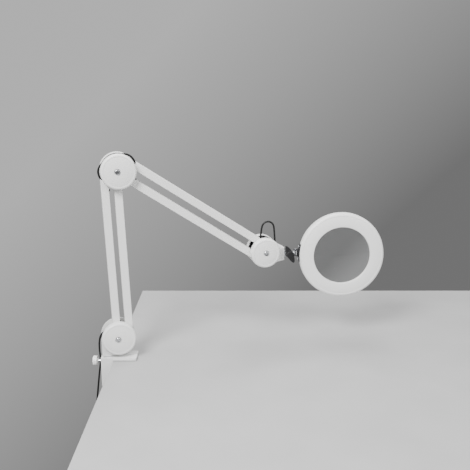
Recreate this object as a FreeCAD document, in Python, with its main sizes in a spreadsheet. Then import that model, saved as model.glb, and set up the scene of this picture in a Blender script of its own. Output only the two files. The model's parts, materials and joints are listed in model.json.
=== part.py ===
import FreeCAD, Part
import math
import os
import re
import Sketcher
from FreeCAD import Placement, Rotation, Vector

# Bench magnifying lamp: a table clamp, a swivelling base bracket, two parallel-tube arms,
# and a ring head with a lens and an LED ring. Millimetres, +Z up. The origin is the middle
# of the clamp pad's underside, where it lies on the table.

SIZES = {
    # swivel post and the arm plane
    "post_x": -34.0,
    "arm_turn": 15.0,
    "post_radius": 6.0,
    "post_bottom": -27.0,
    "running_gap": 0.05,
    # table clamp
    "jaw_width": 38.0,
    "jaw_front": 25.0,
    "edge_x": -22.0,
    "spine_left": -47.0,
    "pad_length": 42.0,
    "pad_width": 32.0,
    "pad_thick": 1.5,
    "jaw_thick": 5.0,
    "lower_jaw_top": -44.0,
    "lower_jaw_thick": 10.0,
    "bush_radius": 8.0,
    "flange_radius": 12.0,
    "flange_thick": 2.5,
    "screw_radius": 5.0,
    "screw_length": 76.0,
    "table_thick": 25.0,
    "shoe_radius": 13.0,
    "shoe_height": 8.0,
    "tee_length": 46.0,
    "tee_radius": 3.0,
    "lock_z": -7.0,
    "lock_radius": 3.0,
    "lock_knob_radius": 10.0,
    "lock_knob_gap": 11.0,
    "lock_knob_thick": 8.0,
    # joints shared by every pivot
    "pin_radius": 3.0,
    "eye_radius": 6.5,
    "eye_far": 3.0,
    "plate_inner": 11.5,
    "plate_thick": 2.0,
    "rivet_radius": 5.0,
    "rivet_thick": 1.0,
    "cover_depth": 12.0,
    "cover_wall": 1.8,
    "cover_round": 4.4,
    "cover_radius": 34.5,
    "cover_shift": 2.5,
    "recess_radius": 6.6,
    "recess_depth": 2.2,
    "head_radius": 5.8,
    # base bracket
    "base_x": 19.3,
    "base_z": 47.2,
    "yoke_bottom": 9.2,
    "yoke_half": 13.0,
    "yoke_round": 34.2,
    "yoke_web_top": 40.0,
    # parallel arms
    "tube_width": 15.0,
    "tube_depth": 20.0,
    "tube_wall": 1.2,
    "lower_length": 341.0,
    "lower_lean": 2.05,
    "lower_pitch": 25.1,
    "base_setback": 16.0,
    "lower_a_setback": 16.0,
    "lower_b_setback": 30.0,
    "upper_length": 338.0,
    "upper_dip": 33.7,
    "upper_pitch": 36.0,
    "elbow_out": 16.7,
    "elbow_drop": 14.7,
    "upper_a_setback": 21.0,
    "upper_b_setback": 14.0,
    "head_setback": 14.0,
    "plug_length": 18.0,
    "neck_half": 5.0,
    "open_gap": 0.15,
    "elbow_plate": 32.0,
    "bumper_size": 4.4,
    "bumper_height": 2.0,
    "spring_radius": 5.0,
    "spring_bore": 3.4,
    "spring_length": 120.0,
    # head joint and neck
    "link_x": -1.45,
    "link_z": -20.2,
    "link_plate": 28.6,
    "link_cover": 31.2,
    "neck_start": 9.0,
    "neck_end": 45.3,
    "neck_side": 10.5,
    "tilt_x": "=neck_end + 8.7",
    "tilt_z": -8.2,
    "spindle_radius": 5.0,
    "collar_radius": 8.6,
    "cheek_radius": 8.0,
    "cheek_inner": 4.0,
    "cheek_outer": 8.4,
    "bolt_radius": 2.5,
    "knob_near": 12.5,
    "knob_thick": 12.0,
    "knob_hub": 8.0,
    "knob_span": 20.0,
    "wing_half": 4.6,
    "stem_radius": 3.5,
    "stem_length": 19.8,
    "hub_radius": 5.0,
    "hub_half": 5.0,
    # ring head
    "neck_roll": -2.2,
    "head_dip": 3.9,
    "head_turn": -11.8,
    "ring_radius": 91.4,
    "head_reach": "=ring_radius + 7.8",
    "ring_half": 12.0,
    "ring_round": 7.0,
    "ring_wall": 2.0,
    "opening_radius": 61.2,
    "lens_radius": 63.5,
    "lens_curve": 400.0,
    "lens_thick": 13.0,
    "lens_y": -3.0,
    "led_inner": 67.0,
    "led_outer": 86.4,
    "back_taper": 5.0,
    "bracket_half": 18.5,
    "bracket_depth": 7.0,
    "bracket_thick": 2.0,
    "button_radius": 3.0,
    "button_y": 7.5,
    # mains lead
    "cord_radius": 1.9,
    "cord_side": 6.5,
    "relief_radius": 3.1,
    "coil_radius": 22.0,
    "coil_bundle": 8.0,
}

document = FreeCAD.newDocument("MagnifyingLamp")
sheet = document.addObject("Spreadsheet::Sheet", "Sizes")
for row, (name, number) in enumerate(SIZES.items(), start=1):
    sheet.set(f"A{row}", name)
    sheet.set(f"B{row}", str(number))
    sheet.setAlias(f"B{row}", name)
document.recompute()
nodes = []


# Helpers. An expression names the sheet's cells by their aliases, as in "tube_width / 2".

def bound(expression):
    return re.sub(r"[a-z]+(_[a-z]+)+", lambda word: "Sizes." + word.group(0), str(expression))


def value(expression):
    return float(sheet.evalExpression(bound(expression)))


def bind(item, properties):
    for name, expression in properties.items():
        item.setExpression(name, bound(expression))


AXIS_TURN = {"X": Rotation(Vector(0, 1, 0), 90), "Y": Rotation(Vector(1, 0, 0), -90), "Z": Rotation()}


def box(x0, x1, y0, y1, z0, z1):
    item = document.addObject("Part::Box", "Block")
    bind(item, {"Length": f"({x1}) - ({x0})", "Width": f"({y1}) - ({y0})", "Height": f"({z1}) - ({z0})"})
    bind(item, {"Placement.Base.x": x0, "Placement.Base.y": y0, "Placement.Base.z": z0})
    return item


def rod(axis, across, start, end, radius, tip_radius=None):
    """A round bar, or a cone where tip_radius is given, along X, Y or Z."""
    kind = "Part::Cylinder" if tip_radius is None else "Part::Cone"
    item = document.addObject(kind, "Bar")
    item.Placement = Placement(Vector(), AXIS_TURN[axis])
    if tip_radius is None:
        bind(item, {"Radius": radius})
    else:
        bind(item, {"Radius1": radius, "Radius2": tip_radius})
    others = [letter for letter in "XYZ" if letter != axis]
    places = {axis: start, others[0]: across[0], others[1]: across[1]}
    bind(item, {"Height": f"({end}) - ({start})"})
    bind(item, {f"Placement.Base.{letter.lower()}": place for letter, place in places.items()})
    return item


def joined(*items):
    item = document.addObject("Part::MultiFuse", "Joined")
    item.Shapes = list(items)
    item.Refine = True
    return item


def cut(base, *tools):
    item = document.addObject("Part::Cut", "Cut")
    item.Base = base
    item.Tool = joined(*tools) if len(tools) > 1 else tools[0]
    return item


def group(*items):
    item = document.addObject("Part::Compound", "Group")
    item.Links = list(items)
    return item


def common(first, second):
    item = document.addObject("Part::Common", "Common")
    item.Base = first
    item.Tool = second
    return item


def node(label, item, frame):
    item.Label = label
    item.Placement = frame
    nodes.append(item)
    return item


def new_body(label, frame):
    body = document.addObject("PartDesign::Body", label)
    return node(label, body, frame)


def sketch(body, plane, offset="0"):
    item = body.newObject("Sketcher::SketchObject", "Outline")
    support = [part for part in body.Origin.OriginFeatures if part.Role == plane][0]
    item.AttachmentSupport = [(support, "")]
    item.MapMode = "FlatFace"
    item.setExpression("AttachmentOffset.Base.z", bound(offset))
    return item


def pin_point(item, geometry, point, place):
    for kind, expression in zip(("DistanceX", "DistanceY"), place):
        number = item.addConstraint(
            Sketcher.Constraint(kind, -1, 1, geometry, point, value(expression)))
        item.setExpression(f"Constraints[{number}]", bound(expression))


def outline(item, corners):
    first = item.GeometryCount
    places = [Vector(value(x), value(y), 0) for x, y in corners]
    count = len(corners)
    for number in range(count):
        item.addGeometry(Part.LineSegment(places[number], places[(number + 1) % count]), False)
    for number in range(count):
        following = first + (number + 1) % count
        item.addConstraint(Sketcher.Constraint("Coincident", first + number, 2, following, 1))
        pin_point(item, first + number, 1, corners[number])


def circle(item, x, y, radius):
    number = item.addGeometry(
        Part.Circle(Vector(value(x), value(y), 0), Vector(0, 0, 1), value(radius)), False)
    pin_point(item, number, 3, (x, y))
    limit = item.addConstraint(Sketcher.Constraint("Radius", number, value(radius)))
    item.setExpression(f"Constraints[{limit}]", bound(radius))


def pad(body, profile, length, both_ways=False, backwards=False):
    item = body.newObject("PartDesign::Pad", "Pad")
    item.Profile = profile
    item.Midplane = both_ways
    item.Reversed = backwards
    bind(item, {"Length": length})
    return item


def pocket(body, profile, length, backwards=False, both_ways=False):
    item = body.newObject("PartDesign::Pocket", "Pocket")
    item.Profile = profile
    item.Midplane = both_ways
    item.Reversed = backwards
    bind(item, {"Length": length})
    return item


def turned(body, corners):
    """A solid of revolution about Y; corners are (radius, y)."""
    profile = sketch(body, "XY_Plane")
    outline(profile, corners)
    item = body.newObject("PartDesign::Revolution", "Turned")
    item.Profile = profile
    item.ReferenceAxis = (profile, ["V_Axis"])
    item.Angle = 360.0
    return item


def rounded(body, feature, radius, chosen):
    """Fillets the edges of feature for which chosen(edge) is true."""
    document.recompute()
    names = [f"Edge{number}" for number, edge in enumerate(feature.Shape.Edges, start=1) if chosen(edge)]
    if not names:
        raise RuntimeError(f"no edge to round on {body.Label}")
    item = body.newObject("PartDesign::Fillet", "Rounding")
    item.Base = (feature, names)
    bind(item, {"Radius": radius})
    return item


def ring_edge(radius, y):
    """True for the circular edge of that radius about the Y axis at that height."""
    def chosen(edge):
        curve = edge.Curve
        if not isinstance(curve, Part.Circle):
            return False
        return abs(curve.Radius - value(radius)) < 0.01 and abs(curve.Center.y - value(y)) < 0.01
    return chosen


def along(direction):
    """True for straight edges that run along that direction."""
    def chosen(edge):
        ends = [vertex.Point for vertex in edge.Vertexes]
        if len(ends) != 2 or not isinstance(edge.Curve, Part.Line):
            return False
        return (ends[1] - ends[0]).normalize().cross(direction).Length < 0.001
    return chosen


# Frames. The arm frame turns about the post; the others follow from it along the arms.

PIVOT_AXIS = Vector(0, 1, 0)
world = Placement()
arm = Placement(Vector(value("post_x"), 0, 0), Rotation(Vector(0, 0, 1), value("arm_turn")))


def moved(frame, x, z, turn=0.0):
    return frame.multiply(Placement(Vector(x, 0, z), Rotation(PIVOT_AXIS, turn)))


base_a = moved(arm, value("base_x"), value("base_z"))
lower_a = moved(base_a, 0, 0, -value("lower_lean"))
lower_b = moved(base_a, value("lower_pitch"), 0, -value("lower_lean"))
lower_top = lower_a.multVec(Vector(0, 0, value("lower_length")))
elbow = moved(Placement(lower_top, arm.Rotation), value("lower_pitch"), 0)
upper_b = moved(elbow, value("elbow_out"), -value("elbow_drop"), 90 + value("upper_dip"))
upper_a = moved(elbow, value("elbow_out"), value("upper_pitch - elbow_drop"), 90 + value("upper_dip"))
upper_end = upper_b.multVec(Vector(0, 0, value("upper_length")))
link = moved(Placement(upper_end, arm.Rotation), -value("link_x"), -value("link_z"))
tilt = moved(link, value("tilt_x"), value("tilt_z"))
knuckle_frame = tilt.multiply(Placement(Vector(), Rotation(Vector(1, 0, 0), value("neck_roll"))))
stem_frame = moved(knuckle_frame, 0, 0, value("head_dip"))
head_hinge = moved(stem_frame, value("stem_length"), 0).multiply(
    Placement(Vector(), Rotation(Vector(0, 0, 1), value("head_turn"))))
head = moved(head_hinge, value("head_reach"), 0)


# Table clamp: a cast C whose spine holds the post, with a rubber pad under its upper jaw.

def table_clamp():
    body = new_body("clamp_frame", world)
    side = sketch(body, "XZ_Plane")
    top = "pad_thick + jaw_thick"
    outline(side, [
        ("spine_left", "lower_jaw_top - lower_jaw_thick"),
        ("jaw_front - 6", "lower_jaw_top - lower_jaw_thick"),
        ("jaw_front - 6", "lower_jaw_top"), ("edge_x", "lower_jaw_top"), ("edge_x", "pad_thick"),
        ("jaw_front", "pad_thick"), ("jaw_front", top), ("spine_left", top)])
    casting = pad(body, side, "jaw_width", both_ways=True)
    casting = rounded(body, casting, "1.6", along(Vector(0, 0, 1)))
    bore = sketch(body, "XY_Plane", top)
    circle(bore, "post_x", "0", "bush_radius")
    pocket(body, bore, f"{top} + 28")
    thread = sketch(body, "XY_Plane", "lower_jaw_top + 1")
    circle(thread, "0", "0", "screw_radius + running_gap")
    pocket(body, thread, "lower_jaw_thick + 2")
    lock = sketch(body, "YZ_Plane", "spine_left - 1")
    circle(lock, "0", "lock_z", "lock_radius + running_gap")
    pocket(body, lock, "post_x - bush_radius - spine_left + 2", backwards=True)

    body = new_body("jaw_pad", world)
    face = sketch(body, "XY_Plane")
    outline(face, [
        ("-pad_length / 2", "-pad_width / 2"), ("pad_length / 2", "-pad_width / 2"),
        ("pad_length / 2", "pad_width / 2"), ("-pad_length / 2", "pad_width / 2")])
    slab = pad(body, face, "pad_thick")
    rounded(body, slab, "3", along(Vector(0, 0, 1)))

    sleeve = rod("Z", ("post_x", "0"), "-28 + 0.2", top, "bush_radius")
    flange = rod("Z", ("post_x", "0"), top, f"{top} + flange_thick", "flange_radius")
    hole = rod("Z", ("post_x", "0"), "-30", "20", "post_radius + running_gap")
    slot = rod("X", ("0", "lock_z"), "spine_left", "post_x", "lock_radius + 0.3")
    node("swivel_bush", cut(joined(sleeve, flange), hole, slot), world)


# Clamping screw with a tee bar, and the swivelling shoe on its tip.

def clamping_screw():
    shoe_bottom = "-table_thick - shoe_height"
    disc = rod("Z", ("0", "0"), "-table_thick - 3.5", "-table_thick", "shoe_radius")
    boss = rod("Z", ("0", "0"), shoe_bottom, "-table_thick - 3.5", "screw_radius + 2.4")
    socket = rod("Z", ("0", "0"), shoe_bottom, "-table_thick - 2.5", "screw_radius - 1.5 + running_gap")
    node("clamp_shoe", cut(joined(disc, boss), socket), world)

    tip = rod("Z", ("0", "0"), f"{shoe_bottom} - 1", "-table_thick - 2.7", "screw_radius - 1.5")
    shank = rod("Z", ("0", "0"), f"{shoe_bottom} - screw_length", f"{shoe_bottom} - 0.4", "screw_radius")
    bar_z = f"{shoe_bottom} - screw_length + 8"
    cross_hole = rod("X", ("0", bar_z), "-20", "20", "tee_radius")
    node("clamp_screw", cut(joined(tip, shank), cross_hole), world)

    bar = rod("X", ("0", bar_z), "-tee_length / 2", "tee_length / 2", "tee_radius")
    caps = [rod("X", ("0", bar_z), f"{side} * tee_length / 2 - 2", f"{side} * tee_length / 2 + 2",
                "tee_radius + 1.2") for side in (-1, 1)]
    node("clamp_tee_bar", joined(bar, *caps), world)


# Lock screw that bears on the post's groove, with its plastic knob.

def lock_screw():
    groove_left = "post_x - post_radius + 0.9"
    knob_right = "spine_left - lock_knob_gap"
    shank = rod("X", ("0", "lock_z"), f"{knob_right} - 6", f"{groove_left} - 0.1", "lock_radius")
    node("lock_screw", group(shank), world)

    disc = rod("X", ("0", "lock_z"), f"{knob_right} - lock_knob_thick", knob_right, "lock_knob_radius")
    hub = rod("X", ("0", "lock_z"), knob_right, f"{knob_right} + 2", "lock_radius + 2.5")
    bore = rod("X", ("0", "lock_z"), f"{knob_right} - 6", f"{knob_right} + 3", "lock_radius")
    flutes = []
    for number in range(12):
        angle = f"{number * 30}"
        flutes.append(rod(
            "X", (f"(lock_knob_radius + 0.9) * cos({angle})",
                  f"lock_z + (lock_knob_radius + 0.9) * sin({angle})"),
            f"{knob_right} - lock_knob_thick - 1", f"{knob_right} - 1.5", "1.6"))
    node("lock_knob", cut(joined(disc, hub), bore, *flutes), world)


# Base bracket: a bent yoke riveted to the post; it carries both lower pivots.

def base_bracket():
    top = "pad_thick + jaw_thick + flange_thick"
    shaft = rod("Z", ("0", "0"), "post_bottom", "yoke_bottom + plate_thick", "post_radius")
    rivet = rod("Z", ("0", "0"), "yoke_bottom + plate_thick", "yoke_bottom + plate_thick + 1.5",
                "post_radius + 2")
    waist = cut(rod("Z", ("0", "0"), "lock_z - 4", "lock_z + 4", "post_radius + 1"),
                rod("Z", ("0", "0"), "lock_z - 4", "lock_z + 4", "post_radius - 0.9"))
    node("swivel_post", cut(joined(shaft, rivet), waist), arm)

    sides = []
    for side in (-1, 1):
        inner = f"{side} * plate_inner"
        outer = f"{side} * (plate_inner + plate_thick)"
        low, high = (outer, inner) if side < 0 else (inner, outer)
        leg = box("-yoke_half", "base_x", low, high, "yoke_bottom", "base_z")
        disc = rod("Y", ("base_x + cover_shift", "base_z"), low, high, "yoke_round")
        sides += [leg, disc]
    span = "plate_inner + plate_thick"
    floor = box("-yoke_half", "base_x", f"-({span})", span, "yoke_bottom", "yoke_bottom + plate_thick")
    web = box("-yoke_half", "-yoke_half + plate_thick", f"-({span})", span, "yoke_bottom", "yoke_web_top")
    post_hole = rod("Z", ("0", "0"), "0", "yoke_bottom + plate_thick + 1", "post_radius")
    pin_holes = [rod("Y", (x, "base_z"), "-20", "20", "pin_radius")
                 for x in ("base_x", "base_x + lower_pitch")]
    node("base_bracket", cut(joined(*sides, floor, web), post_hole, *pin_holes), arm)


# Joint hardware that every pivot repeats: rivet pins, covers and cross-recessed screws.

def rivet_pins(label, frame, places):
    span = "plate_inner + plate_thick"
    pins = []
    for x, z in places:
        shank = rod("Y", (x, z), f"-({span})", span, "pin_radius")
        near = rod("Y", (x, z), f"-({span} + rivet_thick)", f"-({span})", "rivet_radius")
        far = rod("Y", (x, z), span, f"{span} + rivet_thick", "rivet_radius")
        pins.append(joined(shank, near, far))
    node(label, group(*pins), frame)


def joint_cover(label, frame, side, radius, shift, skirt):
    """A pressed cup with a rounded rim; its screw sits shift off the cup's centre."""
    body = new_body(label, frame.multiply(Placement(Vector(value(shift), 0, 0), Rotation())))
    front = f"{side} * (plate_inner + plate_thick + cover_depth)"
    inside = f"{side} * (plate_inner + plate_thick + cover_depth - cover_wall)"
    shoulder = f"{side} * (plate_inner + plate_thick + cover_depth - cover_round - 0.8)"
    edge = f"{side} * ({skirt})"
    cup = turned(body, [
        ("0", front), (radius, front), (radius, edge), (f"{radius} - cover_wall", edge),
        (f"{radius} - cover_wall", shoulder), (f"{radius} - cover_round - 0.8", inside), ("0", inside)])
    cup = rounded(body, cup, "cover_round", ring_edge(radius, front))
    recess = sketch(body, "XZ_Plane", f"-({front}) + {side} * recess_depth")
    circle(recess, f"-({shift})", "0", "recess_radius")
    pad(body, recess, "1.2", backwards=side < 0)
    dish = sketch(body, "XZ_Plane", f"-({front}) - {side} * 0.5")
    circle(dish, f"-({shift})", "0", "recess_radius - 0.8")
    pocket(body, dish, "recess_depth + 0.5", backwards=side > 0)
    hole = sketch(body, "XZ_Plane", "0")
    circle(hole, f"-({shift})", "0", "bolt_radius + 0.1")
    pocket(body, hole, "60", both_ways=True)


def cover_screws(label, frame, sides, foot_height):
    screws = []
    for side in sides:
        seat = f"{side} * (plate_inner + plate_thick + cover_depth - recess_depth)"
        crown = f"{side} * (plate_inner + plate_thick + cover_depth + 0.4)"
        foot = f"{side} * (plate_inner + plate_thick + {foot_height})"
        ends = (lambda a, b: (a, b) if side > 0 else (b, a))
        pan = rod("Y", ("0", "0"), *ends(seat, crown), "head_radius - 0.9")
        shank = rod("Y", ("0", "0"), *ends(foot, seat), "bolt_radius")
        slots = []
        for width, height in ((3.2, 0.6), (0.6, 3.2)):
            slots.append(box(-width, width, *ends(f"{crown} - {side} * 1.6", f"{crown} + {side}"),
                             -height, height))
        screws.append(cut(joined(pan, shank), *slots))
    node(label, group(*screws), frame)


# Each tube's length, then how far its two mouths stand back from the pivots.

LOWER_A = ("lower_length", "base_setback", "lower_a_setback")
LOWER_B = ("lower_length", "base_setback", "lower_b_setback")
UPPER_A = ("upper_length", "upper_a_setback", "head_setback")
UPPER_B = ("upper_length", "upper_b_setback", "head_setback")


# A tube of an arm runs along +Z from its pivot; its end fittings leave one side free for the cord.

def arm_tube(name, frame, length, start, end):
    body = new_body(name, frame)
    section = sketch(body, "XY_Plane", start)
    for inset in ("0", "tube_wall"):
        across = f"tube_width / 2 - {inset}"
        deep = f"tube_depth / 2 - {inset}"
        outline(section, [(f"-({across})", f"-({deep})"), (across, f"-({deep})"),
                          (across, deep), (f"-({across})", deep)])
    walls = pad(body, section, f"{length} - {start} - {end}")
    half = value("tube_width") / 2
    rounded(body, walls, "1.1", lambda edge: along(Vector(0, 0, 1))(edge)
            and abs(abs(edge.CenterOfMass.x) - half) < 0.01)


def end_fittings(name, frame, length, start, end, open_end):
    near = "-tube_depth / 2 + tube_wall + 0.1"
    side = "tube_width / 2 - tube_wall - 0.1"
    fittings = []
    for pivot, way, setback, gap in (("0", 1, start, "running_gap"), (length, -1, end, open_end)):
        mouth = f"{pivot} + {way} * {setback}"
        inside = f"{pivot} + {way} * ({setback} + plug_length)"
        low, high = (pivot, inside) if way > 0 else (inside, pivot)
        neck = box("-neck_half", "neck_half", near, "eye_far", low, high)
        low, high = (mouth, inside) if way > 0 else (inside, mouth)
        plug = box(f"-({side})", side, near, "eye_far", low, high)
        eye = rod("Y", ("0", pivot), "-tube_depth / 2", "eye_far", "eye_radius")
        hole = rod("Y", ("0", pivot), "-20", "20", f"pin_radius + {gap}")
        fittings.append(cut(joined(neck, plug, eye), hole))
    node(name, group(*fittings), frame)


def arm_bumpers(name, frame, side, *places):
    """Rubber buffers on the tube's inner wall that stop the twin tubes clapping together."""
    face = f"{side} * tube_width / 2"
    crest = f"{side} * (tube_width / 2 + bumper_height)"
    low, high = (face, crest) if side > 0 else (crest, face)
    buffers = [rod("X", ("-2.5", middle), low, high, "bumper_size / 2") for middle in places]
    node(name, group(*buffers), frame)


def arm_spring(name, frame, start):
    """Closed-wound balance spring with its end hooks, inside the tube that carries no cord."""
    high = f"{start} + spring_length"
    wound = cut(rod("Z", ("0", "-2.6"), start, high, "spring_radius"),
                rod("Z", ("0", "-2.6"), f"{start} + 2", f"{high} - 2", "spring_bore"))
    hooks = [rod("Z", ("0", "-2.6"), low, top, "0.8")
             for low, top in ((f"{start} - 12", start), (high, f"{high} + 12"))]
    node(name, joined(wound, *hooks), frame)


# Elbow: two round plates with three pivots, capped on both sides.

ELBOW_PIVOTS = (("-lower_pitch", "0"), ("0", "0"), ("elbow_out", "-elbow_drop"),
                ("elbow_out", "upper_pitch - elbow_drop"))
LINK_PIVOTS = (("link_x", "link_z"), ("link_x", "link_z + upper_pitch"))


def joint_plate(label, frame, side, radius, shift, pivots):
    body = new_body(label, frame)
    offset = "plate_inner" if side < 0 else "-(plate_inner + plate_thick)"
    disc = sketch(body, "XZ_Plane", offset)
    circle(disc, shift, "0", radius)
    for x, z in pivots:
        circle(disc, x, z, "pin_radius")
    pad(body, disc, "plate_thick")


# Head joint neck: a tapered casting held between the link plates, bored for the knuckle.

def neck_housing():
    body = new_body("neck_housing", link)
    side = sketch(body, "XZ_Plane")
    outline(side, [
        ("neck_start", "-14"), ("neck_start + 12", "-26.5"), ("neck_end", "tilt_z - 13.4"),
        ("neck_end", "tilt_z + 14"), ("neck_start + 12", "18.8"), ("neck_start", "14")])
    casting = pad(body, side, "2 * neck_side", both_ways=True)
    casting = rounded(body, casting, "3",
                      lambda edge: abs(abs(edge.CenterOfMass.y) - value("neck_side")) < 0.01
                      and edge.CenterOfMass.x > value("neck_start") + 8)
    seat = sketch(body, "YZ_Plane", "neck_end + 1")
    circle(seat, "0", "tilt_z", "collar_radius + 0.3")
    pocket(body, seat, "neck_end + 1 - tilt_x + 16.3")
    bore = sketch(body, "YZ_Plane", "neck_end")
    circle(bore, "0", "tilt_z", "spindle_radius + running_gap")
    pocket(body, bore, "neck_end - tilt_x + 32.5")
    entry = sketch(body, "XY_Plane", "30")
    circle(entry, "27", "2", "cord_radius + 0.6")
    pocket(body, entry, "22")


# Knuckle that turns in the neck, the tilting stem and its wing knob.

def knuckle():
    spindle = rod("X", ("0", "0"), "-32", "-15.8", "spindle_radius")
    face = "neck_end - tilt_x + 0.3"
    collar = rod("X", ("0", "0"), "-16", face, "collar_radius")
    cheeks = []
    for side in (-1, 1):
        ends = ("cheek_inner", "cheek_outer") if side > 0 else ("-cheek_outer", "-cheek_inner")
        cheeks += [box(face, "0", *ends, "-6", "6"), rod("Y", ("0", "0"), *ends, "cheek_radius - 1")]
    slot = box("-8.2", "12", "-cheek_inner", "cheek_inner", "-12", "12")
    hole = rod("Y", ("0", "0"), "-20", "20", "bolt_radius + running_gap")
    node("neck_knuckle", cut(joined(spindle, collar, *cheeks), slot, hole), knuckle_frame)

    eye = rod("Y", ("0", "0"), "-cheek_inner + 0.3", "cheek_inner - 0.3", "cheek_radius - 1")
    bar = rod("X", ("0", "0"), "0", "stem_length", "stem_radius - 0.2")
    hub = rod("Z", ("stem_length", "0"), "-hub_half", "hub_half", "hub_radius")
    bolt_hole = rod("Y", ("0", "0"), "-20", "20", "bolt_radius + running_gap")
    pin_hole = rod("Z", ("stem_length", "0"), "-20", "20", "2 + running_gap")
    node("tilt_stem", cut(joined(eye, bar, hub), bolt_hole, pin_hole), stem_frame)

    near = "-(knob_near + knob_thick)"
    hub = rod("Y", ("0", "0"), near, "-knob_near", "knob_hub")
    wings = []
    for side in (-1, 1):
        tip = f"{side} * (knob_span - wing_half)"
        low, high = (tip, "0") if side < 0 else ("0", tip)
        wings.append(rod("Y", ("0", tip), f"{near} + 2", "-knob_near - 2", "wing_half"))
        wings.append(box("-wing_half", "wing_half", f"{near} + 2", "-knob_near - 2", low, high))
    bore = rod("Y", ("0", "0"), "-knob_near - 7", "-knob_near + 1", "bolt_radius")
    lean = moved(knuckle_frame, 0, 0, -25.0)
    node("wing_knob", cut(joined(hub, *wings), bore), lean)
    bolt = rod("Y", ("0", "0"), "-knob_near - 7", "cheek_outer + 0.3", "bolt_radius")
    head_end = rod("Y", ("0", "0"), "cheek_outer + 0.3", "cheek_outer + 3.3", "bolt_radius + 2")
    washer = rod("Y", ("0", "0"), "-knob_near + 0.1", "-cheek_outer - 0.3", "cheek_radius")
    node("wing_bolt", joined(bolt, head_end, washer), lean)


# Ring head: bezel and back shell, lens and its ring, LED board, diffuser, bracket and button.

def ring_head():
    body = new_body("head_bezel", head)
    front = "-ring_half"
    shell = turned(body, [
        ("opening_radius", front), ("ring_radius", front), ("ring_radius", "0"),
        ("ring_radius - ring_wall", "0"), ("ring_radius - ring_wall", "-ring_half + ring_round"),
        ("ring_radius - ring_round", "-ring_half + ring_wall"),
        ("lens_radius + 2.5", "-ring_half + ring_wall"),
        ("lens_radius + 2.5", "0"), ("lens_radius + 0.3", "0"), ("lens_radius + 0.3", "lens_y - 2"),
        ("opening_radius", "lens_y - 2")])
    shell = rounded(body, shell, "ring_round", ring_edge("ring_radius", front))
    rounded(body, shell, "1.6", ring_edge("opening_radius", front))

    body = new_body("head_back", head)
    turned(body, [
        ("lens_radius + 0.7", "0.3"), ("ring_radius", "0.3"), ("ring_radius", "ring_half / 2"),
        ("ring_radius - back_taper + 1", "ring_half"), ("led_outer", "ring_half"), ("led_outer", "3"),
        ("led_inner", "3"), ("led_inner", "ring_half"), ("lens_radius + 0.7", "ring_half")])
    hole = sketch(body, "XY_Plane", "-led_outer + 4")
    circle(hole, "0", "button_y", "button_radius + 0.2")
    pocket(body, hole, "12")

    curve = "(lens_curve - lens_thick / 2)"
    balls = []
    for side in (-1, 1):
        ball = document.addObject("Part::Sphere", "Ball")
        bind(ball, {"Radius": "lens_curve", "Placement.Base.y": f"lens_y + {side} * {curve}"})
        balls.append(ball)
    blank = rod("Y", ("0", "0"), "lens_y - lens_thick", "lens_y + lens_thick", "lens_radius")
    node("lens", common(common(balls[0], balls[1]), blank), head)
    ring = cut(rod("Y", ("0", "0"), "lens_y + 2", "0.2", "lens_radius + 0.2"),
               rod("Y", ("0", "0"), "lens_y", "1", "lens_radius - 2.2"))
    node("lens_ring", ring, head)

    board = cut(rod("Y", ("0", "0"), "3", "4.6", "led_outer - 2.6"),
                rod("Y", ("0", "0"), "2", "6", "led_inner + 0.5"))
    node("led_board", board, head)
    cover = cut(rod("Y", ("0", "0"), "ring_half - 2.4", "ring_half - 0.4", "led_outer - 0.2"),
                rod("Y", ("0", "0"), "0", "ring_half", "led_inner + 0.2"))
    node("diffuser", cover, head)
    cap = rod("Z", ("0", "button_y"), "-ring_radius - 1.6", "-led_outer - 1.7", "button_radius")
    waist = box("-button_radius / 2", "button_radius / 2", "5.1", "ring_half - 2.7",
                "-led_outer - 1.8", "-led_outer + 0.4")
    flange = box("-button_radius - 1.6", "button_radius + 1.6", "4.9", "ring_half - 2.7",
                 "-led_outer + 0.2", "-led_outer + 1.4")
    node("power_button", joined(cap, waist, flange), head)


def head_bracket():
    inner = "ring_radius + 0.2"
    outer = "ring_radius + 0.2 + bracket_thick"
    depth = ("-bracket_depth", "bracket_depth")
    band = cut(rod("Y", ("head_reach", "0"), *depth, outer),
               rod("Y", ("head_reach", "0"), "-30", "30", inner))
    window = box("0", "head_reach / 3", *depth, "-bracket_half", "bracket_half")
    strap = common(band, window)
    ears = []
    for side in (-1, 1):
        ends = (f"{side} * (hub_half + 0.3)", f"{side} * (hub_half + 2.3)")
        ends = ends if side > 0 else ends[::-1]
        ears.append(rod("Z", ("0", "0"), *ends, "hub_radius"))
        ears.append(box("0", f"head_reach - ({inner}) - 0.6", "-hub_radius", "hub_radius", *ends))
    pin_hole = rod("Z", ("0", "0"), "-20", "20", "2")
    screw_holes = [rod("X", ("0", z), "0", "12", "1.6") for z in ("-12.5", "12.5")]
    node("head_bracket", cut(joined(strap, *ears), pin_hole, *screw_holes), head_hinge)

    pin = rod("Z", ("0", "0"), "-hub_half - 3", "hub_half + 3", "2")
    caps = [rod("Z", ("0", "0"), *ends, "3") for ends in (("-hub_half - 3.2", "-hub_half - 2.3"),
                                                        ("hub_half + 2.3", "hub_half + 3.2"))]
    screws = []
    for z in ("-12.5", "12.5"):
        rim = "head_reach - sqrt((ring_radius + 0.2 + bracket_thick) ^ 2 - 12.5 ^ 2)"
        pan = rod("X", ("0", z), f"{rim} - 1.8", f"{rim} - 0.4", "2.9")
        shank = rod("X", ("0", z), f"{rim} - 0.5", f"{rim} + 1.2", "1.5")
        screws.append(joined(pan, shank))
    node("bracket_fasteners", group(joined(pin, *caps), *screws), head_hinge)


# Cords. A route's straight runs are joined by tangent arcs as large as the runs allow.

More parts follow.
